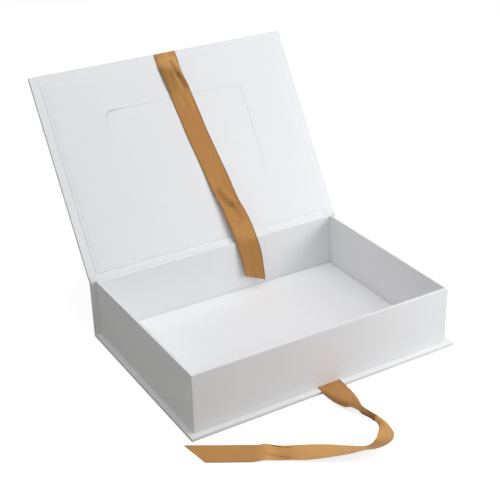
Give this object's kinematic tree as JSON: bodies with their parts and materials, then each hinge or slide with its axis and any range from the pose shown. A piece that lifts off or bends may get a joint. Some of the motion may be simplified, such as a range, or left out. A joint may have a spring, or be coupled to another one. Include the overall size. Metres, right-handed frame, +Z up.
{
  "type": "keepsake box",
  "caption": "Rigid paper-covered presentation box that opens like a book: a shallow tray glued into a hard case, a lid on a paper hinge with a photo opening inside, and satin ribbon ties.",
  "frame": {"origin": "centre of the footprint of the case, on its underside", "axes": "+X to the right seen from the front, -Y towards the front lip, +Z up"},
  "size_m": [0.3055, 0.4362, 0.2453],
  "materials": {
    "greyboard": "matte",
    "cover_paper": "matte",
    "liner_card": "matte",
    "kraft_tape": "matte",
    "satin_ribbon": "satin"
  },
  "bodies": {
    "box": {"base_board": "greyboard", "base_wrap": "cover_paper", "spine_board": "greyboard", "spine_wrap": "cover_paper", "tray_front_wall": "greyboard", "tray_back_wall": "greyboard", "tray_left_wall": "greyboard", "tray_right_wall": "greyboard", "tray_bottom_board": "greyboard", "tray_corner_tapes": "kraft_tape", "tray_wrap": "cover_paper", "tray_floor_liner": "liner_card", "hinge_wrap": "cover_paper", "hinge_lining": "cover_paper", "base_ribbon": "satin_ribbon"},
    "lid": {"lid_board": "greyboard", "lid_wrap": "cover_paper", "lid_liner": "liner_card", "photo_pocket_backing": "liner_card", "lid_ribbon": "satin_ribbon"}
  },
  "joints": [
    {"name": "lid_hinge", "type": "hinge", "parent": "box", "child": "lid", "pos_m": [0, 0.10566, 0.0654], "axis": [-1, 0, 0], "range_deg": [-122.4, 73], "deforming": ["hinge_wrap", "hinge_lining", "lid_ribbon"]}
  ]
}
